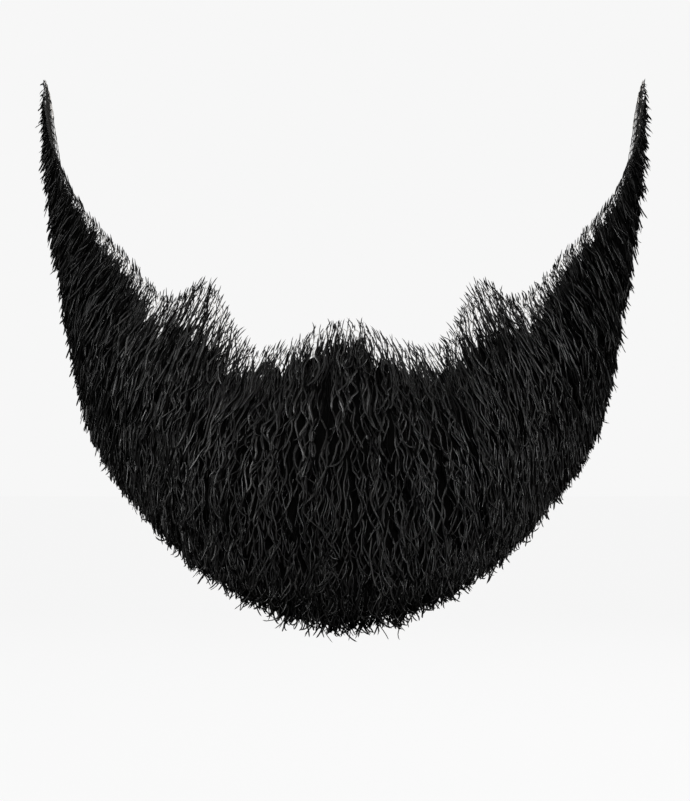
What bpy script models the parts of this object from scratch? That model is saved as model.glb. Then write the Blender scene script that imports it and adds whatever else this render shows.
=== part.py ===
"""Full chin beard without a moustache: black hair knotted into a fine net foundation.

Frame: +Z up, the front of the beard faces -Y, +X is to the right when seen from the
front. The origin is on the inner face of the net at the foremost point of the chin.
Lengths in the tables are millimetres; the mesh is written in metres.

Both pieces are lofted through the same cross sections. A section starts at the upper
edge of the net, runs down over the cheek or chin, round the jaw line and ends at the
lower edge behind it. The right half (+X) is built and mirrored.
"""
import math
from collections import namedtuple

import bmesh
import bpy
from mathutils import Vector

# ---------------------------------------------------------------- driving sizes, mm
MM = 0.001
NET_WALL = 1.0          # wall of the net foundation
HAIR_GAP = 0.3          # clearance between the net and the hair solid
EDGE_HAIR = 0.9         # depth of hair at the upper edge, where it thins out
REAR_HAIR = 2.2         # depth of hair at the lower edge of the net
TAIL_BULGE = 0.10       # how far the hanging hair bulges, as a share of its drop
NET_STEPS = 11          # facets across the ribbon, upper edge to lower edge
HAIR_STEPS = 17         # facets of the outer hair surface, same way
LOCK_PITCH = 13.0       # spacing of the locks along the hanging edge
LOCK_DEPTH = 0.9        # how far a lock reaches past its neighbours

# ---------------------------------------------------------------- the net's sections
# One row a section, from the middle of the chin to the upper end. Points are (x, y, z):
#   upper  the upper edge of the net
#   face   where the section crosses the front of the chin or the cheek
#   jaw    where it turns round the jaw line
#   lower  the lower edge of the net, behind the jaw line
# steps is the number of facets from this section to the next one.
NetRow = namedtuple("NetRow", "name steps upper face jaw lower")
NET = (
    NetRow("chin_middle",   2, (0.0, 6.5, 22.0),    (0.0, 0.0, 0.0),     (0.0, 7.0, -12.5),   (0.0, 31.0, -18.0)),
    NetRow("tongue",        3, (5.0, 6.8, 21.2),    (6.0, 0.3, 0.0),     (5.6, 7.3, -12.5),   (5.4, 31.3, -18.0)),
    NetRow("tongue_foot",   4, (12.0, 7.6, 17.6),   (13.0, 1.8, 0.0),    (12.0, 9.0, -12.3),  (11.5, 32.5, -17.6)),
    NetRow("dip",           4, (22.0, 10.5, 16.6),  (24.0, 7.4, 1.5),    (21.5, 16.0, -11.2), (19.5, 37.5, -16.0)),
    NetRow("peak",          4, (31.0, 18.0, 31.5),  (34.5, 18.6, 8.5),   (31.0, 27.5, -8.6),  (28.0, 46.0, -13.0)),
    NetRow("notch",         5, (40.5, 26.5, 28.5),  (44.5, 33.5, 12.0),  (40.0, 43.0, -4.0),  (35.5, 57.0, -8.6)),
    NetRow("front_cheek",   5, (52.5, 42.5, 40.0),  (55.0, 54.0, 23.0),  (49.0, 63.5, 2.6),   (43.5, 71.5, -2.6)),
    NetRow("back_cheek",    5, (63.5, 63.0, 52.5),  (63.0, 73.5, 35.5),  (56.6, 83.5, 11.5),  (51.0, 88.0, 4.5)),
    NetRow("jaw_angle",     5, (70.6, 81.0, 66.5),  (68.6, 89.0, 50.0),  (63.6, 98.5, 31.0),  (59.5, 101.5, 22.5)),
    NetRow("sideburn",      4, (73.0, 90.5, 76.0),  (72.0, 96.0, 66.0),  (69.6, 103.5, 53.0), (67.2, 107.0, 45.0)),
    NetRow("sideburn_top",  0, (73.7, 95.0, 84.0),  (73.8, 98.5, 84.2),  (73.5, 103.0, 83.0), (72.9, 106.5, 80.5)),
)

# ---------------------------------------------------------------- the hair's depth
# One row for each section above:
#   face  depth of the hair over the front of the chin or the cheek
#   jaw   depth of the hair in front of the jaw line, measured level
#   tip   (x, y, z) of the hanging edge, the lowest hair of that section
HairRow = namedtuple("HairRow", "name face jaw tip")
HAIR = (
    HairRow("chin_middle",  10.0, 19.0, (0.0, -0.5, -50.0)),
    HairRow("tongue",        9.9, 19.0, (6.4, -0.2, -49.6)),
    HairRow("tongue_foot",   9.6, 18.6, (14.0, 2.0, -47.8)),
    HairRow("dip",           9.0, 17.0, (25.4, 9.0, -43.0)),
    HairRow("peak",          8.2, 14.2, (37.2, 23.0, -35.4)),
    HairRow("notch",         7.2, 12.4, (47.8, 43.5, -24.2)),
    HairRow("front_cheek",   6.0, 9.6,  (57.2, 64.5, -11.2)),
    HairRow("back_cheek",    5.0, 6.9,  (63.8, 85.0, 4.6)),
    HairRow("jaw_angle",     4.2, 5.2,  (67.8, 98.5, 19.0)),
    HairRow("sideburn",      2.8, 3.6,  (72.2, 104.5, 41.5)),
    HairRow("sideburn_top",  1.1, 1.1,  (74.2, 105.5, 79.5)),
)


def flipped(point):
    """The same point on the other side of the middle plane."""
    return Vector((-point[0], point[1], point[2]))


def through(knots, points, at):
    """A smooth curve through the points, read at one knot value (Catmull-Rom)."""
    i = max(1, min(len(knots) - 3, next((k - 1 for k in range(1, len(knots)) if knots[k] >= at), len(knots) - 3)))
    k0, k1, k2, k3 = knots[i - 1], knots[i], knots[i + 1], knots[i + 2]
    p0, p1, p2, p3 = points[i - 1], points[i], points[i + 1], points[i + 2]
    span = k2 - k1
    t = (at - k1) / span
    m1 = ((p1 - p0) / (k1 - k0) * span + (p2 - p1)) * 0.5 if k1 > k0 else p2 - p1
    m2 = ((p3 - p2) / (k3 - k2) * span + (p2 - p1)) * 0.5 if k3 > k2 else p2 - p1
    t2, t3 = t * t, t * t * t
    return p1 * (2 * t3 - 3 * t2 + 1) + m1 * (t3 - 2 * t2 + t) + p2 * (3 * t2 - 2 * t3) + m2 * (t3 - t2)


def with_ends(values, first=None):
    """Adds the point before the first and after the last that the curve needs."""
    before = first if first is not None else values[0] * 2 - values[1]
    return [before] + list(values) + [values[-1] * 2 - values[-2]]


# Position of each section along the ribbon, mm from the middle of the chin.
ALONG = [0.0]
for here, there in zip(NET, NET[1:]):
    ALONG.append(ALONG[-1] + (Vector(there.face) - Vector(here.face)).length)
KNOTS = [-ALONG[1]] + ALONG + [2 * ALONG[-1] - ALONG[-2]]


def column(rows, field):
    """One column of a table as a curve's points, mirrored past the middle plane."""
    values = [getattr(row, field) for row in rows]
    if isinstance(values[0], tuple):
        values = [Vector(value) for value in values]
        return with_ends(values, flipped(values[1]))
    return with_ends([Vector((value, 0, 0)) for value in values], Vector((values[1], 0, 0)))


COLUMNS = {("net", field): column(NET, field) for field in ("upper", "face", "jaw", "lower")}
COLUMNS.update({("hair", field): column(HAIR, field) for field in ("face", "jaw", "tip")})


def read(table, field, along):
    return through(KNOTS, COLUMNS[(table, field)], along)


def across(points, share):
    """A smooth section through its points, read at a share 0 to 1 of its length."""
    ends = with_ends(points)
    knots = [0.0]
    for a, b in zip(ends, ends[1:]):
        knots.append(knots[-1] + max((b - a).length, 1e-6) ** 0.5)
    return through(knots, ends, knots[1] + share * (knots[-2] - knots[1]))


def net_point(along, share):
    """A point of the net's inner face: along the ribbon, and 0 to 1 across it."""
    return across([read("net", field, along) for field in ("upper", "face", "jaw", "lower")], share)


def net_normal(along, share):
    """Outward, at right angles to the net."""
    step, edge = 0.4, 0.01
    low, high = max(share - edge, 0.0), min(share + edge, 1.0)
    back, ahead = (along, min(along + step, ALONG[-1])) if along < step else (along - step, min(along + step, ALONG[-1]))
    down = net_point(along, high) - net_point(along, low)
    onward = net_point(ahead, share) - net_point(back, share)
    normal = down.cross(onward)
    if along < 1e-6:
        normal.x = 0.0
    return normal.normalized()


def hair_section(along):
    """The outer line of one section of the hair, from the upper edge to the lower one."""
    net_lift = NET_WALL + HAIR_GAP
    face_share, jaw_share = 0.36, 0.64
    upper = net_point(along, 0.0) + net_normal(along, 0.0) * (net_lift + EDGE_HAIR)
    face = net_point(along, face_share) + net_normal(along, face_share) * (net_lift + read("hair", "face", along).x)
    level = net_normal(along, face_share)
    level.z = 0.0
    jaw = net_point(along, jaw_share) + level.normalized() * (net_lift + read("hair", "jaw", along).x)
    tip = read("hair", "tip", along)
    lower = net_point(along, 1.0) + net_normal(along, 1.0) * (net_lift + REAR_HAIR)
    if along < 1e-6:
        for point in (upper, face, jaw, tip, lower):
            point.x = 0.0
    drop = (tip - jaw).length
    outward = level.normalized()
    tip = tip + (tip - jaw).normalized() * (LOCK_DEPTH * (math.cos(2 * math.pi * along / LOCK_PITCH) - 1.0) * 0.5 * min(1.0, drop / 20.0))
    front = jaw.lerp(tip, 0.55) + outward * (drop * TAIL_BULGE)
    rear = lower.lerp(tip, 0.58) + (tip - jaw).normalized() * (drop * TAIL_BULGE)
    return [upper, face, jaw, front, tip, rear, lower]


def sample_along():
    """Where the ribbon is cut into facets, from the middle of the chin to the upper end."""
    values = []
    for row, start, end in zip(NET, ALONG, ALONG[1:]):
        values += [start + (end - start) * k / row.steps for k in range(row.steps)]
    return values + [ALONG[-1]]


def clear_scene():
    for obj in list(bpy.data.objects):
        bpy.data.objects.remove(obj, do_unlink=True)


def finish_of(name, colour, roughness, metallic=0.0):
    material = bpy.data.materials.new(name)
    material.use_nodes = True
    shader = material.node_tree.nodes["Principled BSDF"]
    shader.inputs["Base Color"].default_value = (*colour, 1.0)
    shader.inputs["Roughness"].default_value = roughness
    shader.inputs["Metallic"].default_value = metallic
    material.diffuse_color = (*colour, 1.0)
    return material


def piece(name, rings, closed_ring, collection, material):
    """An object whose mesh joins one row of points to the next, a loft."""
    mesh = bpy.data.meshes.new(name)
    bm = bmesh.new()
    rows = [[bm.verts.new(point * MM) for point in ring] for ring in rings]
    count = len(rings[0])
    last = count if closed_ring else count - 1
    for row, following in zip(rows, rows[1:]):
        for k in range(last):
            n = (k + 1) % count
            bm.faces.new((row[k], row[n], following[n], following[k]))
    if closed_ring:
        bmesh.ops.triangulate(bm, faces=[bm.faces.new(list(reversed(rows[-1])))], ngon_method="EAR_CLIP")
    bmesh.ops.recalc_face_normals(bm, faces=bm.faces)
    for face in bm.faces:
        face.smooth = True
    bm.to_mesh(mesh)
    bm.free()
    mesh.materials.append(material)
    obj = bpy.data.objects.new(name, mesh)
    collection.objects.link(obj)
    return obj


def add_mirror(obj):
    mirror = obj.modifiers.new("other_half", "MIRROR")
    mirror.use_axis = (True, False, False)
    mirror.use_clip = True
    mirror.merge_threshold = 0.00005
    return mirror


def build_net(collection):
    rings = []
    for along in sample_along():
        ring = [net_point(along, k / NET_STEPS) for k in range(NET_STEPS + 1)]
        if along == 0.0:
            for point in ring:
                point.x = 0.0
        rings.append(ring)
    obj = piece("lace_base", rings, False, collection, finish_of("net_foundation", (0.80, 0.76, 0.71), 0.85))
    # The open sheet is on the inner face; its wall grows outward.
    outward = obj.data.polygons[0].normal.dot(net_normal(2.0, 0.05))
    if outward < 0:
        obj.data.flip_normals()
    add_mirror(obj)
    wall = obj.modifiers.new("wall", "SOLIDIFY")
    wall.thickness = NET_WALL * MM
    wall.offset = 1.0
    wall.use_even_offset = False
    return obj


def build_hair(collection):
    lift = NET_WALL + HAIR_GAP
    rings = []
    for along in sample_along():
        inner = [net_point(along, k / NET_STEPS) + net_normal(along, k / NET_STEPS) * lift for k in range(NET_STEPS + 1)]
        section = hair_section(along)
        outer = [across(section, k / HAIR_STEPS) for k in range(HAIR_STEPS + 1)]
        ring = inner + list(reversed(outer))
        if along == 0.0:
            for point in ring:
                point.x = 0.0
        rings.append(ring)
    obj = piece("hair", rings, True, collection, finish_of("black_hair", (0.012, 0.012, 0.012), 0.45))
    # The first face lies on the inner side, so it has to look inward.
    if obj.data.polygons[0].normal.dot(net_normal(2.0, 0.05)) > 0:
        obj.data.flip_normals()
    add_mirror(obj)
    return obj


def main():
    clear_scene()
    collection = bpy.data.collections.new("fake_beard")
    bpy.context.scene.collection.children.link(collection)
    build_net(collection)
    build_hair(collection)


main()
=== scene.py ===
import math

import bmesh
import bpy
import numpy as np
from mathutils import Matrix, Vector, kdtree


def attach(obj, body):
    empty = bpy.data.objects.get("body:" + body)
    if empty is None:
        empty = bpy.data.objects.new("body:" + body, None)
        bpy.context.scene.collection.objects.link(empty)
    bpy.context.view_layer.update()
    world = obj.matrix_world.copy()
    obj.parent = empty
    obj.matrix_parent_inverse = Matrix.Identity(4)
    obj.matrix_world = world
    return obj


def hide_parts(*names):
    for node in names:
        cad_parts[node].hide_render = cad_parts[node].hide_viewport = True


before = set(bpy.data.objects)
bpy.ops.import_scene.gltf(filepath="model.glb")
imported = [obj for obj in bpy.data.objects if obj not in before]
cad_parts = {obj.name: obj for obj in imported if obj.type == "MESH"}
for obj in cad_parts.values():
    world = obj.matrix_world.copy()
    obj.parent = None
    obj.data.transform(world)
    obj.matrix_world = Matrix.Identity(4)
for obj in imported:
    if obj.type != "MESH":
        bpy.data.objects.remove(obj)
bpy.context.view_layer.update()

MM = 0.001

# ------------------------------------------------------------------ the form, in mm
# The same sections as the construction: from the middle of the chin to the upper end.
# Columns: upper edge, front of chin or cheek, jaw line, lower edge behind it.
UPPER = ((0, 6.5, 22), (5, 6.8, 21.2), (12, 7.6, 17.6), (22, 10.5, 16.6), (31, 18, 31.5), (40.5, 26.5, 28.5),
         (52.5, 42.5, 40), (63.5, 63, 52.5), (70.6, 81, 66.5), (73, 90.5, 76), (73.7, 95, 84))
FACE = ((0, 0, 0), (6, 0.3, 0), (13, 1.8, 0), (24, 7.4, 1.5), (34.5, 18.6, 8.5), (44.5, 33.5, 12),
        (55, 54, 23), (63, 73.5, 35.5), (68.6, 89, 50), (72, 96, 66), (73.8, 98.5, 84.2))
JAW = ((0, 7, -12.5), (5.6, 7.3, -12.5), (12, 9, -12.3), (21.5, 16, -11.2), (31, 27.5, -8.6), (40, 43, -4),
       (49, 63.5, 2.6), (56.6, 83.5, 11.5), (63.6, 98.5, 31), (69.6, 103.5, 53), (73.5, 103, 83))
LOWER = ((0, 31, -18), (5.4, 31.3, -18), (11.5, 32.5, -17.6), (19.5, 37.5, -16), (28, 46, -13), (35.5, 57, -8.6),
         (43.5, 71.5, -2.6), (51, 88, 4.5), (59.5, 101.5, 22.5), (67.2, 107, 45), (72.9, 106.5, 80.5))
# Depth of the hair over the face and jaw columns, and the lowest hair of each section.
DEEP_FACE = (10, 9.9, 9.6, 9, 8.2, 7.2, 6, 5, 4.2, 2.8, 1.1)
DEEP_JAW = (19, 19, 18.6, 17, 14.2, 12.4, 9.6, 6.9, 5.2, 3.6, 1.1)
TIP = ((0, -0.5, -50), (6.4, -0.2, -49.6), (14, 2, -47.8), (25.4, 9, -43), (37.2, 23, -35.4), (47.8, 43.5, -24.2),
       (57.2, 64.5, -11.2), (63.8, 85, 4.6), (67.8, 98.5, 19), (72.2, 104.5, 41.5), (74.2, 105.5, 79.5))
LIFT, EDGE_HAIR, REAR_HAIR, TAIL_BULGE, LOCK_PITCH, LOCK_DEPTH = 1.3, 0.9, 2.2, 0.10, 13.0, 0.9
FACE_SHARE, JAW_SHARE = 0.36, 0.64


def both_sides(rows, even=False):
    """A column of the table for the whole ribbon, one end to the other."""
    rows = np.array(rows, float)
    if rows.ndim == 1:
        return np.concatenate([rows[:0:-1], rows])[:, None]
    return np.concatenate([rows[:0:-1] * (-1, 1, 1), rows])


ALONG = np.concatenate([[0.0], np.cumsum(np.linalg.norm(np.diff(np.array(FACE, float), axis=0), axis=1))])
ALONG = np.concatenate([-ALONG[:0:-1], ALONG])
S_MAX = ALONG[-1]
KNOTS = np.concatenate([[2 * ALONG[0] - ALONG[1]], ALONG, [2 * ALONG[-1] - ALONG[-2]]])
COLS = {}
for key, rows in (("upper", UPPER), ("face", FACE), ("jaw", JAW), ("lower", LOWER), ("tip", TIP), ("deep_face", DEEP_FACE), ("deep_jaw", DEEP_JAW)):
    c = both_sides(rows)
    COLS[key] = np.concatenate([2 * c[:1] - c[1:2], c, 2 * c[-1:] - c[-2:-1]])


def hermite(k, p, at):
    """Catmull-Rom between the middle two of four knots and points, one row a sample."""
    span = (k[2] - k[1])[:, None]
    t = ((at - k[1])[:, None]) / span
    m1 = ((p[1] - p[0]) / np.maximum(k[1] - k[0], 1e-9)[:, None] * span + (p[2] - p[1])) * 0.5
    m2 = ((p[3] - p[2]) / np.maximum(k[3] - k[2], 1e-9)[:, None] * span + (p[2] - p[1])) * 0.5
    t2, t3 = t * t, t * t * t
    return p[1] * (2 * t3 - 3 * t2 + 1) + m1 * (t3 - 2 * t2 + t) + p[2] * (3 * t2 - 2 * t3) + m2 * (t3 - t2)


def read(key, s):
    col = COLS[key]
    i = np.clip(np.searchsorted(KNOTS, s, side="left") - 1, 1, len(KNOTS) - 3)
    return hermite([KNOTS[i + d] for d in (-1, 0, 1, 2)], [col[i + d] for d in (-1, 0, 1, 2)], s)


def section_knots(points):
    ends = np.concatenate([2 * points[:, :1] - points[:, 1:2], points, 2 * points[:, -1:] - points[:, -2:-1]], axis=1)
    step = np.sqrt(np.maximum(np.linalg.norm(np.diff(ends, axis=1), axis=2), 1e-6))
    return ends, np.concatenate([np.zeros((len(step), 1)), np.cumsum(step, axis=1)], axis=1)


def across(points, share):
    ends, knots = section_knots(points)
    m = points.shape[1]
    at = knots[:, 1] + share * (knots[:, -2] - knots[:, 1])
    i = np.clip((knots[:, 1:] < at[:, None]).sum(1), 1, m - 1)
    rows = np.arange(len(at))
    return hermite([knots[rows, i + d] for d in (-1, 0, 1, 2)], [ends[rows, i + d] for d in (-1, 0, 1, 2)], at)


def net_point(s, v):
    return across(np.stack([read(k, s) for k in ("upper", "face", "jaw", "lower")], axis=1), v)


def unit(a):
    return a / np.maximum(np.linalg.norm(a, axis=-1, keepdims=True), 1e-9)


def net_normal(s, v):
    low, high = np.maximum(v - 0.01, 0.0), np.minimum(v + 0.01, 1.0)
    back, ahead = np.maximum(s - 0.4, -S_MAX), np.minimum(s + 0.4, S_MAX)
    return unit(np.cross(net_point(s, high) - net_point(s, low), net_point(ahead, v) - net_point(back, v)))


def hair_section(s):
    one = np.ones_like(s)
    upper = net_point(s, 0 * one) + net_normal(s, 0 * one) * (LIFT + EDGE_HAIR)
    level = net_normal(s, FACE_SHARE * one)
    face = net_point(s, FACE_SHARE * one) + level * (LIFT + read("deep_face", s))
    level = unit(level * (1, 1, 0))
    jaw = net_point(s, JAW_SHARE * one) + level * (LIFT + read("deep_jaw", s))
    tip = read("tip", s)
    lower = net_point(s, one) + net_normal(s, one) * (LIFT + REAR_HAIR)
    hang = tip - jaw
    drop = np.linalg.norm(hang, axis=1, keepdims=True)
    down = hang / drop
    wave = LOCK_DEPTH * (np.cos(2 * np.pi * s / LOCK_PITCH)[:, None] - 1.0) * 0.5 * np.minimum(1.0, drop / 20.0)
    tip = tip + down * wave
    front = jaw * 0.45 + tip * 0.55 + level * (drop * TAIL_BULGE)
    rear = lower * 0.42 + tip * 0.58 + down * (drop * TAIL_BULGE)
    return np.stack([upper, face, jaw, front, tip, rear, lower], axis=1)


def outer_point(s, v):
    return across(hair_section(s), v)


# ------------------------------------------------------------------ look-up grids
GS = np.linspace(-S_MAX, S_MAX, 341)
GV = np.linspace(0.0, 1.0, 97)
gs, gv = np.meshgrid(GS, GV, indexing="ij")
NET_GRID = net_point(gs.ravel(), gv.ravel()).reshape(len(GS), len(GV), 3)
NORMAL_GRID = net_normal(gs.ravel(), gv.ravel()).reshape(len(GS), len(GV), 3)
OUT_GRID = outer_point(gs.ravel(), gv.ravel()).reshape(len(GS), len(GV), 3)
NET_WIDE = np.linalg.norm(np.diff(NET_GRID, axis=1), axis=2).sum(1)
OUT_ARC = np.concatenate([np.zeros((len(GS), 1)), np.cumsum(np.linalg.norm(np.diff(OUT_GRID, axis=1), axis=2), axis=1)], axis=1)
_, section_k = section_knots(hair_section(GS))
SHARES = (section_k[:, 1:-1] - section_k[:, 1:2]) / (section_k[:, -2:-1] - section_k[:, 1:2])


def grid(values, s, v):
    """Reads a look-up grid between its points."""
    a = np.clip((s + S_MAX) / (2 * S_MAX) * (len(GS) - 1), 0, len(GS) - 1.0001)
    b = np.clip(v * (len(GV) - 1), 0, len(GV) - 1.0001)
    i, j = a.astype(int), b.astype(int)
    fa, fb = a - i, b - j
    if values.ndim == 3:
        fa, fb = fa[:, None], fb[:, None]
    return (values[i, j] * (1 - fa) + values[i + 1, j] * fa) * (1 - fb) + (values[i, j + 1] * (1 - fa) + values[i + 1, j + 1] * fa) * fb


def line(values, s):
    return np.interp(s, GS, values)


def arc_to_share(s, arc):
    """The share of the outer section that lies this far along it, in mm."""
    low, high = np.zeros_like(s), np.ones_like(s)
    for _ in range(14):
        mid = (low + high) / 2
        short = grid(OUT_ARC, s, mid) < arc
        low, high = np.where(short, mid, low), np.where(short, high, mid)
    return (low + high) / 2


def ramp(x, xs, ys):
    return np.interp(x, xs, ys)


# ------------------------------------------------------------------ hair strands
rng = np.random.default_rng(20)


def lengths(s, v):
    """Length of the hair that is knotted in at this place, mm."""
    longest = ramp(np.abs(s), (0, 20, 42, 61, 86, 111, 133, 150, 169), (33, 32, 28, 23, 18, 14.5, 11, 8, 5.5))
    mm = v * line(NET_WIDE, s)
    return longest * ramp(mm, (0, 3, 8, 18, 30), (0.36, 0.42, 0.58, 0.85, 1.0))


def lean(s):
    """How far the hair leans away from the middle, as a tangent, seen on the surface."""
    a = ramp(np.abs(s), (0, 8, 20, 30, 50, 61, 80, 100, 125, 145, 169), (0, 1, 0, -7, -14, -16, -13, -9, -4, 0, 0))
    return np.sign(s) * np.tan(np.radians(a))


def roots(count, density, tries=5):
    """Quasi-random places on the net, (s, v), thinned by a density from 0 to 1."""
    n = np.arange(1, count * tries)
    s = (np.mod(0.5 + n * 0.7548776662466927, 1.0) * 2 - 1) * (S_MAX - 0.4)
    v = np.mod(0.5 + n * 0.5698402909980532, 1.0)
    keep = rng.random(len(n)) < density(s, v) * line(NET_WIDE, s) / NET_WIDE.max()
    s, v = s[keep], v[keep]
    return s[:count], v[:count]


def strand_ends(s0, v0, length, w, lift=0.0, to_tip=False, spread=1.0):
    """Root, end and the two directions of each strand."""
    shares = np.stack([line(SHARES[:, k], s0) for k in range(7)], axis=1)
    v_face, v_jaw, v_tip = shares[:, 1], shares[:, 2], shares[:, 4]
    front = v0 < JAW_SHARE
    start = np.where(front,
                     np.where(v0 < FACE_SHARE, v0 / FACE_SHARE * v_face, v_face + (v0 - FACE_SHARE) / (JAW_SHARE - FACE_SHARE) * (v_jaw - v_face)),
                     1 - (1 - v0) / (1 - JAW_SHARE) * (1 - v_tip))
    s1 = np.clip(s0 + lean(s0) * length * 0.9 + rng.normal(0, 0.10, len(s0)) * length * spread, -S_MAX + 0.2, S_MAX - 0.2)
    tip_arc = grid(OUT_ARC, s1, v_tip)
    a0 = grid(OUT_ARC, s1, start)
    reach = length * 0.93
    back = ramp(np.abs(s0), (0, 12, 25, 75, 95, 169), (0.0, 0.3, 1.6, 1.6, 0.5, 0.0))
    if to_tip:
        reach = np.full_like(length, 400.0)
    a1 = np.where(front, np.minimum(a0 + reach, tip_arc - back - rng.uniform(0.6, 4.5, len(s0))),
                  np.maximum(a0 - reach, tip_arc + back + rng.uniform(0.6, 4.5, len(s0))))
    v1 = arc_to_share(s1, np.maximum(a1, 0.0))
    outer = grid(OUT_GRID, s1, v1)
    # The inner point under that place: past the jaw line it stays on the jaw line.
    inner_v = np.where(v1 < v_jaw, np.where(v1 < v_face, v1 / v_face * FACE_SHARE, FACE_SHARE + (v1 - v_face) / (v_jaw - v_face) * (JAW_SHARE - FACE_SHARE)),
                       np.where(v1 > v_tip, 1 - (1 - v1) / (1 - v_tip) * (1 - JAW_SHARE), JAW_SHARE))
    inner = grid(NET_GRID, s1, inner_v) + grid(NORMAL_GRID, s1, inner_v) * 0.8
    out = unit(outer - inner)
    end = inner + (outer - inner) * w[:, None] + out * np.asarray(lift)[..., None]
    root = grid(NET_GRID, s0, v0) + grid(NORMAL_GRID, s0, v0) * 0.30
    step = np.where(a1 >= a0, 1.0, -1.0)
    v_a = arc_to_share(s1, np.maximum(a1 - 1.5, 0.0))
    v_b = arc_to_share(s1, a1 + 1.5)
    flow = unit(grid(OUT_GRID, np.clip(s1 + lean(s0) * 1.5, -S_MAX, S_MAX), v_b) - grid(OUT_GRID, np.clip(s1 - lean(s0) * 1.5, -S_MAX, S_MAX), v_a)) * step[:, None]
    span = np.linalg.norm(end - root, axis=1, keepdims=True)
    # Hair at the upper edge lies along the net, and stands up more further in.
    rise = ramp(v0 * line(NET_WIDE, s0), (0, 5, 14), (0.10, 0.30, 0.8))[:, None]
    first = unit(grid(NORMAL_GRID, s0, v0) * rise + unit(end - root) * 0.75) * span * 0.95
    last = unit(flow * 0.75 + unit(end - root) * 0.5) * span * 0.9
    return root, end, first, last, out


def paths(ends, t):
    root, end, first, last, _ = ends
    t = t[None, :, None]
    t2, t3 = t * t, t * t * t
    return (root[:, None] * (2 * t3 - 3 * t2 + 1) + first[:, None] * (t3 - 2 * t2 + t) +
            end[:, None] * (3 * t2 - 2 * t3) + last[:, None] * (t3 - t2))


def curl(path, t, out, length, size, pitch, phase, turn, start=0.12):
    """Waves across and along the surface, growing from the root."""
    t = t[None, :]
    tangent = unit(np.gradient(path, axis=1))
    side = unit(np.cross(tangent, out[:, None, :]))
    at = t * length[:, None] / pitch[:, None]
    grow = np.clip((t - start) / 0.4, 0, 1) * size[:, None]
    return (side * (np.sin(2 * np.pi * at + phase[:, None]) * grow)[:, :, None] +
            out[:, None, :] * (np.cos(2 * np.pi * at * 0.83 + turn[:, None]) * grow * 0.65)[:, :, None])


def hooked(path, out, most):
    """Bends the last few mm of each hair into a hook, mostly sideways."""
    n, k, _ = path.shape
    step = np.linalg.norm(np.diff(path, axis=1), axis=2)
    left = np.concatenate([np.cumsum(step[:, ::-1], axis=1)[:, ::-1], np.zeros((n, 1))], axis=1)
    reach = np.minimum(rng.uniform(2.2, 5.2, n), left[:, 0] * 0.5)
    first = (left > reach[:, None]).sum(1).clip(1, k - 2)
    rows = np.arange(n)
    start = path[rows, first]
    ahead = unit(path[rows, first] - path[rows, first - 1])
    side = unit(np.cross(ahead, out) * rng.choice((-1.0, 1.0), n)[:, None] + out * rng.normal(0, 0.30, n)[:, None])
    side = unit(side - (side * ahead).sum(1, keepdims=True) * ahead)
    turn = np.abs(rng.normal(0, 1, n)).clip(0.1, 2.2)[:, None] * most
    bend = np.clip((left[rows, first][:, None] - left) / np.maximum(left[rows, first], 1e-6)[:, None], 0, 1) * turn
    arc = (left[rows, first][:, None] / turn)
    curve = start[:, None] + ahead[:, None] * (arc * np.sin(bend))[:, :, None] + side[:, None] * (arc * (1 - np.cos(bend)))[:, :, None]
    past = (np.arange(k)[None] > first[:, None])[:, :, None]
    return np.where(past, curve, path)


def make_strands(s0, v0, guides, clump, size, w, lift, radius, point_every=2.3, tip_curl=0.0, to_tip=False, begin=0.0, spread=1.0):
    """Lists of (paths, radius, tint) grouped by how many points each strand has. A strand whose root is out of sight may begin part of the way along."""
    n = len(s0)
    length = lengths(s0, v0) * rng.uniform(0.82, 1.12, n)
    ends = strand_ends(s0, v0, length, w, lift, to_tip, spread)
    span = np.linalg.norm(ends[1] - ends[0], axis=1)
    near = np.array([guides["tree"].find((s, v, 0.0))[1] for s, v in zip(s0, v0 * line(NET_WIDE, s0))])
    phase = guides["phase"][near] + rng.normal(0, 0.7, n)
    turn = guides["turn"][near] + rng.normal(0, 0.7, n)
    pitch = guides["pitch"][near] * rng.uniform(0.9, 1.1, n)
    size = size * guides["size"][near] * rng.uniform(0.6, 1.25, n)
    tint = rng.random(n)
    counts = np.clip(np.round(span * (1 - begin) / point_every).astype(int) + 2, 5, 23)
    counts += (counts + 1) % 2
    groups = []
    for k in np.unique(counts):
        at = np.nonzero(counts == k)[0]
        part = tuple(e[at] for e in ends)
        even_steps = np.linspace(0, 1, k)
        along = begin + (1 - begin) * (1 - (1 - even_steps) ** (1.3 if tip_curl else 1.0))
        path = paths(part, along)
        t = along[None, :, None]
        g = near[at]
        guide_path = paths(tuple(e[g] for e in guides["ends"]), along)
        gather = (np.asarray(clump)[at] * ramp(np.abs(s0[at]), (0, 95, 130, 169), (1.0, 1.0, 0.45, 0.3)))[:, None, None] * t ** 1.6
        spot = rng.normal(0, 1, (len(at), 1, 3)) * 0.45
        path = path + (guide_path + spot - path) * gather
        path = path + curl(path, along, part[4], span[at], size[at], pitch[at], phase[at], turn[at])
        if tip_curl:
            path = hooked(path, part[4], tip_curl * ramp(np.abs(s0[at]), (0, 45, 75, 169), (1.0, 1.0, 0.4, 0.2))[:, None])
        fine = ramp(np.abs(s0[at]), (0, 100, 135, 169), (1.0, 1.0, 0.72, 0.6))
        groups.append((path, radius * fine * rng.uniform(0.8, 1.2, len(at)), tint[at], s0[at]))
    return groups


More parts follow.
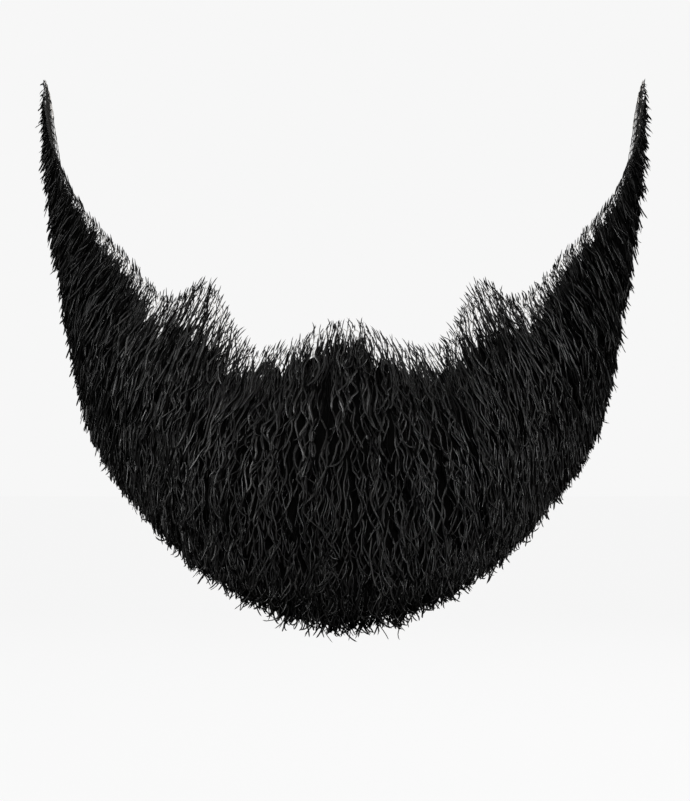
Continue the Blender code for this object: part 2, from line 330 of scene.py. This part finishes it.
def short_ends(s0, v0, lowest, highest, radius):
    """Each knot leaves a short end of its hair, which points the other way, up past the upper edge."""
    n = len(s0)
    level = grid(NORMAL_GRID, s0, v0)
    root = grid(NET_GRID, s0, v0) + level * 0.3
    up = unit(grid(NET_GRID, s0, np.maximum(v0 - 0.02, 0)) - grid(NET_GRID, s0, v0 + 0.02))
    middle = unit(np.cross(up, level)) * np.sign(s0)[:, None]
    middle = middle * np.where((middle * (grid(NET_GRID, s0 * 0.97, v0) - grid(NET_GRID, s0, v0))).sum(1) < 0, -1, 1)[:, None]
    tilt = ramp(np.abs(s0), (0, 10, 30, 45, 60, 80, 110, 169), (0, 18, 26, 24, 8, -8, -20, -35)) + rng.normal(0, 12, n)
    tilt = np.radians(tilt)[:, None]
    away = up * np.cos(tilt) + middle * np.sin(tilt)
    length = rng.uniform(lowest, highest, n) * ramp(np.abs(s0), (0, 105, 125, 150, 169), (1.0, 1.0, 1.25, 1.1, 0.7))
    bend = middle * rng.normal(0.05, 0.14, n)[:, None]
    t = np.linspace(0, 1, 5)[None, :, None]
    line_ = away[:, None] * t + bend[:, None] * t ** 2 + level[:, None] * (0.12 * t)
    return [(root[:, None] + line_ * length[:, None, None], np.full(n, radius) * rng.uniform(0.8, 1.2, n), rng.random(n), s0)]


def tubes(path, radius, tint):
    """Closed three-sided tapering tubes: points, faces as loops, and UVs."""
    n, k, _ = path.shape
    tangent = unit(np.gradient(path, axis=1))
    side = unit(np.cross(path[:, -1] - path[:, 0], np.array([0.31, 0.2, 0.93])[None, :]))[:, None, :]
    a = unit(side - (side * tangent).sum(2, keepdims=True) * tangent)
    b = np.cross(tangent, a)
    t = np.linspace(0, 1, k)[None, :k - 1, None]
    r = radius[:, None, None] * (0.55 + 0.55 * np.clip(t / 0.3, 0, 1)) * (1 - 0.40 * t ** 3)
    rings = [path[:, :k - 1] + (a[:, :k - 1] * math.cos(q) + b[:, :k - 1] * math.sin(q)) * r for q in (0, 2 * math.pi / 3, 4 * math.pi / 3)]
    points = np.stack(rings, axis=2).reshape(n, (k - 1) * 3, 3)
    points = np.concatenate([points, path[:, -1:]], axis=1)
    per = (k - 1) * 3 + 1
    faces3, faces4, uv3, uv4 = [], [], [], []
    col = 1.0 / 64
    u0 = np.floor(tint * 64) / 64
    for j in range(k - 2):
        for q in range(3):
            p = (q + 1) % 3
            faces4.append((j * 3 + q, j * 3 + p, j * 3 + 3 + p, j * 3 + 3 + q))
            uv4.append(((q / 3, j), ((q + 1) / 3, j), ((q + 1) / 3, j + 1), (q / 3, j + 1)))
    for q in range(3):
        p = (q + 1) % 3
        faces3.append(((k - 2) * 3 + q, (k - 2) * 3 + p, per - 1))
        uv3.append(((q / 3, k - 2), ((q + 1) / 3, k - 2), ((q + 0.5) / 3, k - 1)))
    faces3.append((2, 1, 0))
    uv3.append(((0.1, 0.0), (0.5, 0.12), (0.9, 0.0)))
    base = (np.arange(n) * per)[:, None, None]
    f4 = (np.array(faces4)[None] + base).reshape(-1, 4)
    f3 = (np.array(faces3)[None] + base).reshape(-1, 3)

    def spread(uv):
        uv = np.array(uv, float)[None]
        out = np.empty((n,) + uv.shape[1:])
        out[..., 0] = u0[:, None, None] + (0.06 + 0.88 * uv[..., 0]) * col
        out[..., 1] = 0.01 + 0.98 * uv[..., 1] / (k - 1)
        return out.reshape(-1, 2)

    return points.reshape(-1, 3), f4, f3, spread(uv4), spread(uv3)


def mesh_object(name, points, quads, tris, uv_quads=None, uv_tris=None):
    mesh = bpy.data.meshes.new(name)
    mesh.vertices.add(len(points))
    mesh.vertices.foreach_set("co", (points * MM).astype(np.float32).ravel())
    loops = np.concatenate([quads.ravel(), tris.ravel()]).astype(np.int32)
    mesh.loops.add(len(loops))
    mesh.loops.foreach_set("vertex_index", loops)
    starts = np.concatenate([np.arange(len(quads)) * 4, len(quads) * 4 + np.arange(len(tris)) * 3]).astype(np.int32)
    mesh.polygons.add(len(starts))
    mesh.polygons.foreach_set("loop_start", starts)
    mesh.polygons.foreach_set("use_smooth", np.ones(len(starts), dtype=bool))
    if uv_quads is not None:
        layer = mesh.uv_layers.new(name="OFBake")
        layer.data.foreach_set("uv", np.concatenate([uv_quads, uv_tris]).astype(np.float32).ravel())
    mesh.update(calc_edges=True)
    mesh.validate()
    obj = bpy.data.objects.new(name, mesh)
    bpy.context.scene.collection.objects.link(obj)
    return obj


# Guides: one for each small lock, which its strands lean towards and wave with.
def even(s, v):
    return np.ones_like(s)


def thin_reach(s):
    """How far in from the upper edge the hair is still thin, mm: most at the two peaks beside the chin."""
    return ramp(np.abs(s), (0, 8, 26, 36, 50, 60, 72, 86, 110, 130, 150, 169), (6.0, 6.5, 7.0, 12.5, 12.0, 9.0, 6.0, 4.6, 3.4, 1.8, 1.2, 1.0))


def ragged(s):
    """The line where the hair starts wanders by a mm or so along the edge."""
    return 0.9 * np.sin(s * 0.83 + 1.0) + 0.8 * np.sin(s * 1.71 + 2.0) + 0.6 * np.sin(s * 3.3 + 0.5) + 0.3 * np.sin(s * 6.1)


def root_density(s, v):
    """Thin at the upper edge, full a few mm in, lighter under the jaw."""
    mm = v * line(NET_WIDE, s)
    mm = np.maximum(mm - ragged(s) * 0.15 * thin_reach(s) * np.clip(1.5 - mm / thin_reach(s), 0, 1), 0)
    return (ramp(mm / thin_reach(s), (0, 0.25, 0.55, 0.9, 1.4), (0.08, 0.22, 0.45, 0.80, 1.0)) * ramp(v, (0, 0.66, 0.8, 1.0), (1.0, 1.0, 0.62, 0.62))
            * ramp(np.abs(s), (0, 148, 160, 169), (1.0, 1.0, 0.65, 0.4)))


def edge_density(s, v):
    mm = v * line(NET_WIDE, s)
    patchy = np.clip(0.62 - 0.30 * ragged(s), 0.12, 1.0)
    return (np.exp(-((mm - 0.3 * thin_reach(s)) / (0.55 * thin_reach(s))) ** 2) * patchy
            * ramp(np.abs(s), (0, 28, 36, 62, 74, 100, 140, 155, 169), (1.0, 0.9, 0.32, 0.32, 0.8, 1.0, 1.0, 0.5, 0.3)))


def knot_density(s, v):
    mm = v * line(NET_WIDE, s)
    patchy = np.clip(0.75 - 0.25 * ragged(s), 0.2, 1.0)
    return np.exp(-(mm / (0.28 * thin_reach(s) + 0.4)) ** 2) * patchy * ramp(np.abs(s), (0, 120, 150, 169), (1.0, 1.0, 0.7, 0.2))


def jaw_density(s, v):
    return np.exp(-((v - 0.60) / 0.13) ** 2) * ramp(np.abs(s), (0, 60, 108, 130, 169), (1.0, 0.9, 0.6, 0.0, 0.0))


gs0, gv0 = roots(2300, even)
guide_len = lengths(gs0, gv0)
guides = {
    "ends": strand_ends(gs0, gv0, guide_len, rng.uniform(0.82, 1.0, len(gs0))),
    "phase": rng.uniform(0, 2 * np.pi, len(gs0)),
    "turn": rng.uniform(0, 2 * np.pi, len(gs0)),
    "pitch": rng.uniform(5.6, 10.0, len(gs0)),
    "size": rng.uniform(0.65, 1.25, len(gs0)),
}
tree = kdtree.KDTree(len(gs0))
for k, (s, mm) in enumerate(zip(gs0, gv0 * line(NET_WIDE, gs0))):
    tree.insert((s, mm, 0.0), k)
tree.balance()
guides["tree"] = tree


def amount(full):
    return full


def slim(s):
    """The sideburns lie flatter than the rest."""
    return ramp(np.abs(s), (0, 20, 40, 75, 95, 115, 135, 150, 169), (1.0, 0.98, 0.96, 0.97, 1.0, 0.90, 0.66, 0.56, 0.45))


# The underhair: fine hair that fills the depth of the beard. Its colour is painted shade, the same black hair made
# darker and duller than the outer hair for the shade deep among the strands.
under = []
s0, v0 = roots(amount(5400), root_density)
n = len(s0)
under += make_strands(s0, v0, guides, rng.uniform(0.3, 0.8, n), 0.5, rng.uniform(0.50, 0.92, n) * slim(s0), np.zeros(n), 0.20, point_every=3.6)
sj, vj = roots(amount(2600), jaw_density, tries=12)
j = len(sj)
under += make_strands(sj, vj, guides, rng.uniform(0.0, 0.35, j), 0.5, rng.uniform(0.80, 1.0, j) * slim(sj), np.zeros(j), 0.18, point_every=2.2, tip_curl=1.2, to_tip=True, begin=0.55)
# The outer hair: crimped, thicker to the eye, each hair seen on its own.
outer = []
s0, v0 = roots(amount(3400), root_density)
n = len(s0)
off = np.where(rng.random(n) < 0.18, rng.uniform(0.3, 1.3, n), 0.0) * slim(s0)
outer += make_strands(s0, v0, guides, rng.uniform(0.1, 0.6, n), 0.70, rng.uniform(0.92, 1.03, n) * slim(s0), off, 0.28, point_every=1.55, spread=1.15, tip_curl=0.7)
sj, vj = roots(amount(1500), jaw_density, tries=12)
j = len(sj)
outer += make_strands(sj, vj, guides, rng.uniform(0.0, 0.35, j), 0.70, rng.uniform(0.95, 1.02, j) * slim(sj), np.zeros(j), 0.21, point_every=1.5, tip_curl=2.0, to_tip=True, begin=0.45)
# Short thin hair along the upper edge, where the net shows through.
se, ve = roots(amount(1700), edge_density, tries=30)
e = len(se)
outer += make_strands(se, ve, guides, rng.uniform(0.0, 0.6, e), 0.35, rng.uniform(0.30, 0.85, e) * slim(se), np.zeros(e), 0.14, point_every=2.0, spread=1.8)
sk, vk = roots(amount(1500), knot_density, tries=40)
outer += short_ends(sk, vk, 0.9, 3.3, 0.115)
# Flyaways stand a little clear of the rest and curl more.
s1, v1 = roots(amount(600), root_density)
m = len(s1)
outer += make_strands(s1, v1, guides, rng.uniform(0.0, 0.3, m), 1.0, rng.uniform(1.0, 1.04, m) * slim(s1), rng.uniform(0.0, 0.5, m), 0.15, point_every=1.7, tip_curl=1.2)


def shares_of(groups, pieces):
    """Where to cut the hair along the ribbon, so that each piece gets a like share of it."""
    order = np.sort(np.concatenate([np.repeat(g[3], (g[0].shape[1] - 2) * 6 + 4) for g in groups]))
    return [-1e9] + [order[int(len(order) * k / pieces)] for k in range(1, pieces)] + [1e9]


# ------------------------------------------------------------------ materials
def material(name, colour, roughness):
    mat = bpy.data.materials.new(name)
    mat.use_nodes = True
    shader = mat.node_tree.nodes["Principled BSDF"]
    shader.inputs["Base Color"].default_value = (*colour, 1)
    shader.inputs["Roughness"].default_value = roughness
    return mat, mat.node_tree.nodes, mat.node_tree.links, shader


def add(nodes, kind, **values):
    node = nodes.new(kind)
    for key, value in values.items():
        if key in node.inputs:
            node.inputs[key].default_value = value
        else:
            setattr(node, key, value)
    return node


def strand_material(name, stops, roughness, specular, root_tip):
    """Black hair: the tint of each hair comes from its own column of the map, root to tip along it."""
    mat, nodes, links, shader = material(name, (0.01, 0.01, 0.01), roughness[0])
    shader.inputs["Specular IOR Level"].default_value = specular
    uv = add(nodes, "ShaderNodeUVMap", uv_map="OFBake")
    split = add(nodes, "ShaderNodeSeparateXYZ")
    links.new(uv.outputs["UV"], split.inputs["Vector"])
    tint = add(nodes, "ShaderNodeValToRGB")
    ramp_ = tint.color_ramp
    ramp_.interpolation = "CONSTANT"
    while len(ramp_.elements) < len(stops):
        ramp_.elements.new(1.0)
    for element, (at, value) in zip(ramp_.elements, stops):
        element.position = at
        element.color = (value * 1.03, value, value * 0.97, 1)
    links.new(split.outputs["X"], tint.inputs["Fac"])
    along = add(nodes, "ShaderNodeMapRange")
    along.inputs["From Min"].default_value, along.inputs["From Max"].default_value = 0.0, 1.0
    along.inputs["To Min"].default_value, along.inputs["To Max"].default_value = root_tip
    links.new(split.outputs["Y"], along.inputs["Value"])
    scale = add(nodes, "ShaderNodeVectorMath", operation="SCALE")
    links.new(tint.outputs["Color"], scale.inputs[0])
    links.new(along.outputs["Result"], scale.inputs["Scale"])
    links.new(scale.outputs["Vector"], shader.inputs["Base Color"])
    # Some hairs are glossier than others.
    gloss = add(nodes, "ShaderNodeTexWhiteNoise", noise_dimensions="1D")
    step = add(nodes, "ShaderNodeMath", operation="MULTIPLY")
    step.inputs[1].default_value = 64.0
    links.new(split.outputs["X"], step.inputs[0])
    whole = add(nodes, "ShaderNodeMath", operation="FLOOR")
    links.new(step.outputs["Value"], whole.inputs[0])
    links.new(whole.outputs["Value"], gloss.inputs["W"])
    rough = add(nodes, "ShaderNodeMapRange")
    rough.inputs["To Min"].default_value, rough.inputs["To Max"].default_value = roughness
    links.new(gloss.outputs["Value"], rough.inputs["Value"])
    links.new(rough.outputs["Result"], shader.inputs["Roughness"])
    return mat


def shade_mass_material():
    # Near black all over: painted shade for the dark gaps between strands deep in the beard. The faint streaks and
    # bumps follow the hair.
    mat, nodes, links, shader = material("painted_shade_undercoat", (0.001, 0.001, 0.001), 0.9)
    shader.inputs["Specular IOR Level"].default_value = 0.03
    uv = add(nodes, "ShaderNodeUVMap", uv_map="OFBake")
    stretch = add(nodes, "ShaderNodeMapping")
    stretch.inputs["Scale"].default_value = (900, 40, 1)
    links.new(uv.outputs["UV"], stretch.inputs["Vector"])
    noise = add(nodes, "ShaderNodeTexNoise", Scale=1.0, Detail=3.0)
    links.new(stretch.outputs["Vector"], noise.inputs["Vector"])
    tint = add(nodes, "ShaderNodeValToRGB")
    tint.color_ramp.elements[0].color = (0.0004, 0.0004, 0.0004, 1)
    tint.color_ramp.elements[1].color = (0.004, 0.0039, 0.0038, 1)
    links.new(noise.outputs["Fac"], tint.inputs["Fac"])
    links.new(tint.outputs["Color"], shader.inputs["Base Color"])
    bump = add(nodes, "ShaderNodeBump", Strength=1.0, Distance=0.0006)
    links.new(noise.outputs["Fac"], bump.inputs["Height"])
    links.new(bump.outputs["Normal"], shader.inputs["Normal"])
    return mat


def hair_pieces(groups, names, mat):
    cuts = shares_of(groups, len(names))
    for name, low, high in zip(names, cuts, cuts[1:]):
        stacks = [[], [], [], [], []]
        at = 0
        for path, radius, tint, s in groups:
            keep = (s >= low) & (s < high)
            if not keep.any():
                continue
            points, f4, f3, uv4, uv3 = tubes(path[keep], radius[keep], tint[keep])
            for stack, value in zip(stacks, (points, f4 + at, f3 + at, uv4, uv3)):
                stack.append(value)
            at += len(points)
        piece = mesh_object(name, *[np.concatenate(stack) for stack in stacks])
        piece.data.materials.append(mat)
        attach(piece, "root")


outer_mat = strand_material("black_hair", ((0.0, 0.0020), (0.30, 0.004), (0.50, 0.0015), (0.66, 0.007), (0.80, 0.003), (0.90, 0.013), (0.965, 0.030)),
                            (0.30, 0.56), 0.5, (0.75, 1.45))
# The underhair's material is a darker, duller copy of the hair colour: painted shade for the depth of the beard, not a
# different hair.
painted_shade_under_mat = strand_material("shaded_underhair", ((0.0, 0.0006), (0.45, 0.0012), (0.75, 0.0022)), (0.55, 0.75), 0.08, (0.6, 1.3))
hair_pieces(outer, ("strands_left", "strands_chin", "strands_right"), outer_mat)
hair_pieces(under, ("underhair_left", "underhair_right"), painted_shade_under_mat)

# ------------------------------------------------------------------ undercoat: the bulk of the hair, near black as painted shade
us = np.linspace(-S_MAX + 7, S_MAX - 7, 401)
wide = line(NET_WIDE, us)
first_v = np.clip(thin_reach(us) / wide, 0, 0.45)
last_v = 1 - np.clip(2.0 / wide, 0, 0.3)
inner_n, outer_n = 12, 34
rings = []
noise_rng = np.random.default_rng(5)
first_v = first_v + noise_rng.uniform(-0.35, 0.30, len(us)) * thin_reach(us) / wide
jag = noise_rng.uniform(-1, 1, (len(us), outer_n))
for i, s in enumerate(us):
    sv = np.full(inner_n, s)
    vv = np.linspace(first_v[i] + 0.02 * noise_rng.uniform(-1, 1), last_v[i], inner_n)
    inner = grid(NET_GRID, sv, vv) + grid(NORMAL_GRID, sv, vv) * 0.75
    sh = [np.interp(s, GS, SHARES[:, k]) for k in range(7)]
    a = first_v[i] / FACE_SHARE * sh[1]
    vo = np.linspace(a, 1 - (1 - last_v[i]) * 0.6, outer_n)
    so = np.full(outer_n, s)
    # The point of the net that each point of the outer line stands over.
    iv = np.interp(vo, (0, sh[1], sh[2], sh[4], 1), (0, FACE_SHARE, JAW_SHARE, JAW_SHARE, 1))
    foot = grid(NET_GRID, so, iv) + grid(NORMAL_GRID, so, iv) * 0.75
    top = grid(OUT_GRID, so, vo)
    share = np.interp(vo, (0, sh[1], sh[2], sh[3], sh[4], sh[5], 1), (0.60, 0.64, 0.70, 0.80, 0.90, 0.80, 0.6)) * slim(s) + 0.04 * jag[i]
    share = share * np.clip((vo - a) / 0.10, 0.15, 1) * np.clip((vo[-1] - vo) / 0.06, 0.25, 1)
    rings.append(np.concatenate([inner, (foot + (top - foot) * share[:, None])[::-1]]))
rings = np.array(rings)
m, c = rings.shape[:2]
quads = np.array([(i * c + j, i * c + (j + 1) % c, (i + 1) * c + (j + 1) % c, (i + 1) * c + j) for i in range(m - 1) for j in range(c)])
uvq = np.array([((i / m, j / c), (i / m, (j + 1) / c), ((i + 1) / m, (j + 1) / c), ((i + 1) / m, j / c)) for i in range(m - 1) for j in range(c)]) * 0.9
caps = []
for j in range(1, c - 1):
    caps.append((0, j + 1, j))
    caps.append(((m - 1) * c, (m - 1) * c + j, (m - 1) * c + j + 1))
uvc = np.array([((0.92 + 0.07 * (k % 7) / 7, 0.93), (0.92 + 0.07 * (k % 7 + 1) / 7, 0.93), (0.92 + 0.07 * (k % 7) / 7, 0.97)) for k in range(len(caps))])
mass = mesh_object("hair_mass", rings.reshape(-1, 3), quads[:, ::-1], np.array(caps)[:, ::-1], uvq[:, ::-1].reshape(-1, 2), uvc[:, ::-1].reshape(-1, 2))
bm = bmesh.new()
bm.from_mesh(mass.data)
bmesh.ops.recalc_face_normals(bm, faces=bm.faces)
bm.to_mesh(mass.data)
bm.free()
mass.data.materials.append(shade_mass_material())
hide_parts("hair")
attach(mass, "root")

# ------------------------------------------------------------------ net foundation
NET_CELL = 1.75      # across the flats of one mesh of the net
NET_THREAD = 0.22


def net_mesh():
    rows = int(80 / (NET_CELL * math.sqrt(3) / 2))
    cols = int(2 * S_MAX / NET_CELL) + 2
    bm = bmesh.new()
    cell = NET_CELL / math.sqrt(3)
    verts = {}

    def vert(x, y):
        key = (round(x * 50), round(y * 50))
        if key not in verts:
            verts[key] = (bm.verts.new((x, y, 0)), x, y)
        return verts[key][0]

    for r in range(rows):
        for col in range(cols):
            cx = -S_MAX + (col + 0.5 * (r % 2)) * NET_CELL
            cy = r * cell * 1.5
            ring = [(cx + cell * math.sin(math.pi / 3 * k), cy + cell * math.cos(math.pi / 3 * k)) for k in range(6)]
            w_here = line(NET_WIDE, np.clip(np.array([cx]), -S_MAX, S_MAX))[0]
            if max(p[1] for p in ring) > w_here + 0.3 or min(p[0] for p in ring) < -S_MAX or max(p[0] for p in ring) > S_MAX:
                continue
            if min(p[1] for p in ring) < -0.3:
                continue
            bm.faces.new([vert(*p) for p in reversed(ring)])
    bm.verts.ensure_lookup_table()
    xs = np.array([v.co.x for v in bm.verts])
    ys = np.array([v.co.y for v in bm.verts])
    s = np.clip(xs, -S_MAX, S_MAX)
    wide = line(NET_WIDE, s)
    v = np.clip(ys / wide, 0, 1)
    # Arc length across is not quite even in v, so look it up.
    arc = np.concatenate([np.zeros((len(GS), 1)), np.cumsum(np.linalg.norm(np.diff(NET_GRID, axis=1), axis=2), axis=1)], axis=1)
    low, high = np.zeros_like(s), np.ones_like(s)
    for _ in range(12):
        mid = (low + high) / 2
        short = grid(arc, s, mid) < np.clip(ys, 0, wide)
        low, high = np.where(short, mid, low), np.where(short, high, mid)
    v = np.clip(np.where(ys <= 0, 0, np.where(ys >= wide, 1, (low + high) / 2)), 0, 1)
    co = grid(NET_GRID, s, v) + grid(NORMAL_GRID, s, v) * (NET_THREAD * 0.5 + 0.02)
    for vertex, point in zip(bm.verts, co):
        vertex.co = Vector(point * MM)
    bmesh.ops.remove_doubles(bm, verts=bm.verts, dist=0.00018)
    bmesh.ops.dissolve_degenerate(bm, edges=bm.edges, dist=0.00005)
    mesh = bpy.data.meshes.new("lace_net")
    bm.to_mesh(mesh)
    bm.free()
    obj = bpy.data.objects.new("lace_net", mesh)
    bpy.context.scene.collection.objects.link(obj)
    wire = obj.modifiers.new("threads", "WIREFRAME")
    wire.thickness = NET_THREAD * MM
    wire.use_even_offset = False
    wire.use_boundary = True
    wire.use_replace = True
    wire.offset = 0.0
    graph = bpy.context.evaluated_depsgraph_get()
    done = bpy.data.meshes.new_from_object(obj.evaluated_get(graph))
    obj.modifiers.clear()
    obj.data = done
    done.name = "lace_net"
    for polygon in done.polygons:
        polygon.use_smooth = True
    return obj


net = net_mesh()
# How thickly the hair is knotted in at each point of the net, kept in a map of its own.
places = kdtree.KDTree(len(GS[::2]) * len(GV[::2]))
spots = NET_GRID[::2, ::2].reshape(-1, 3)
for k, point in enumerate(spots):
    places.insert(point, k)
places.balance()
at_s, at_v = gs.reshape(len(GS), len(GV))[::2, ::2].ravel(), gv.reshape(len(GS), len(GV))[::2, ::2].ravel()
shares = np.clip(root_density(at_s, at_v) * ramp(np.abs(at_s), (0, 105, 130, 150, 169), (0.62, 0.62, 1.0, 1.4, 1.4))
                 + ramp(np.abs(at_s), (0, 80, 130, 150, 160, 169), (0.0, 0.0, 0.8, 0.9, 0.5, 0.25)), 0, 1)
near = np.array([shares[places.find(vertex.co / MM)[1]] for vertex in net.data.vertices])
corner = np.empty(len(net.data.loops), dtype=np.int32)
net.data.loops.foreach_get("vertex_index", corner)
layer = net.data.uv_layers.new(name="knots")
layer.data.foreach_set("uv", np.stack([near[corner], np.zeros(len(corner))], axis=1).astype(np.float32).ravel())
mat, nodes, links, shader = material("net_thread", (0.70, 0.66, 0.62), 0.75)
coord = add(nodes, "ShaderNodeTexCoord")
noise = add(nodes, "ShaderNodeTexNoise", Scale=260.0, Detail=2.0)
links.new(coord.outputs["Object"], noise.inputs["Vector"])
tone = add(nodes, "ShaderNodeValToRGB")
tone.color_ramp.elements[0].color = (0.80, 0.76, 0.71, 1)
tone.color_ramp.elements[1].color = (0.88, 0.85, 0.81, 1)
links.new(noise.outputs["Fac"], tone.inputs["Fac"])
share = add(nodes, "ShaderNodeUVMap", uv_map="knots")
share_x = add(nodes, "ShaderNodeSeparateXYZ")
links.new(share.outputs["UV"], share_x.inputs["Vector"])
reach = add(nodes, "ShaderNodeMapRange")
reach.inputs["From Min"].default_value, reach.inputs["From Max"].default_value = 0.20, 1.0
reach.inputs["To Min"].default_value, reach.inputs["To Max"].default_value = 0.02, 0.85
links.new(share_x.outputs["X"], reach.inputs["Value"])
cells = add(nodes, "ShaderNodeTexVoronoi", Scale=760.0)
links.new(coord.outputs["Object"], cells.inputs["Vector"])
inside = add(nodes, "ShaderNodeMath", operation="LESS_THAN")
links.new(cells.outputs["Distance"], inside.inputs[0])
links.new(reach.outputs["Result"], inside.inputs[1])
knotted = add(nodes, "ShaderNodeMix", data_type="RGBA")
knotted.inputs[7].default_value = (0.012, 0.011, 0.010, 1)
links.new(inside.outputs["Value"], knotted.inputs[0])
links.new(tone.outputs["Color"], knotted.inputs[6])
links.new(knotted.outputs[2], shader.inputs["Base Color"])
net.data.materials.clear()
net.data.materials.append(mat)
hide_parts("lace_base")
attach(net, "root")

# ------------------------------------------------------------------ stage and light
FLOOR = -0.105


def stage_object(name, bm, colour, glow):
    """Part of the studio. It shows, but throws no light back into the black hair."""
    mesh = bpy.data.meshes.new(name)
    bm.to_mesh(mesh)
    bm.free()
    obj = bpy.data.objects.new(name, mesh)
    bpy.context.scene.collection.objects.link(obj)
    mat, nodes, links, shader = material("pale_" + name, (colour, colour, colour), 0.9)
    shader.inputs["Specular IOR Level"].default_value = 0.1
    shader.inputs["Emission Color"].default_value = (1, 1, 1, 1)
    shader.inputs["Emission Strength"].default_value = glow
    mesh.materials.append(mat)
    obj.visible_diffuse = False
    obj.visible_glossy = False
    for polygon in mesh.polygons:
        polygon.use_smooth = True
    return obj


bm = bmesh.new()
bmesh.ops.create_circle(bm, cap_ends=True, segments=64, radius=5.2)
for vertex in bm.verts:
    vertex.co.z = FLOOR
stage_object("floor", bm, 0.02, 0.912)
bm = bmesh.new()
bmesh.ops.create_uvsphere(bm, u_segments=64, v_segments=32, radius=5.5)
for vertex in bm.verts:
    vertex.co.z += FLOOR
backdrop = stage_object("backdrop", bm, 0.0, 0.93)
backdrop.visible_shadow = False

world = bpy.data.worlds.new("studio")
bpy.context.scene.world = world
world.use_nodes = True
world.node_tree.nodes["Background"].inputs["Color"].default_value = (1, 1, 1, 1)
world.node_tree.nodes["Background"].inputs["Strength"].default_value = 0.06


def area(name, place, target, size, power):
    data = bpy.data.lights.new(name, "AREA")
    data.shape = "RECTANGLE"
    data.size, data.size_y = size
    data.energy = power
    obj = bpy.data.objects.new(name, data)
    bpy.context.scene.collection.objects.link(obj)
    obj.location = place
    obj.rotation_euler = (Vector(target) - Vector(place)).to_track_quat("-Z", "Y").to_euler()
    return obj


area("key", (0.10, -1.20, 0.42), (0, 0.02, 0), (0.34, 0.26), 9.2)
area("top", (-0.1, -0.15, 1.3), (0, 0.04, 0), (0.5, 0.4), 4.5)
area("side_left", (-1.2, 0.15, 0.40), (0, 0.06, 0.02), (0.3, 0.4), 5.0)
area("side_right", (1.2, 0.15, 0.40), (0, 0.06, 0.02), (0.3, 0.4), 5.0)
area("behind", (0.2, 1.3, 0.55), (0, 0.05, 0), (0.4, 0.3), 5.0)

# ------------------------------------------------------------------ camera
DISTANCE = 1.298
camera_data = bpy.data.cameras.new("camera")
camera_data.sensor_fit = "AUTO"
camera_data.sensor_width = 36.0
camera_data.lens = 36.0 * DISTANCE / (801 * 0.00023)
camera_data.clip_end = 20.0
camera = bpy.data.objects.new("camera", camera_data)
bpy.context.scene.collection.objects.link(camera)
camera.location = (0.00023, -DISTANCE, 0.005)
camera.rotation_euler = (math.radians(90), 0, 0)
bpy.context.scene.camera = camera
bpy.context.scene.view_settings.view_transform = "Standard"
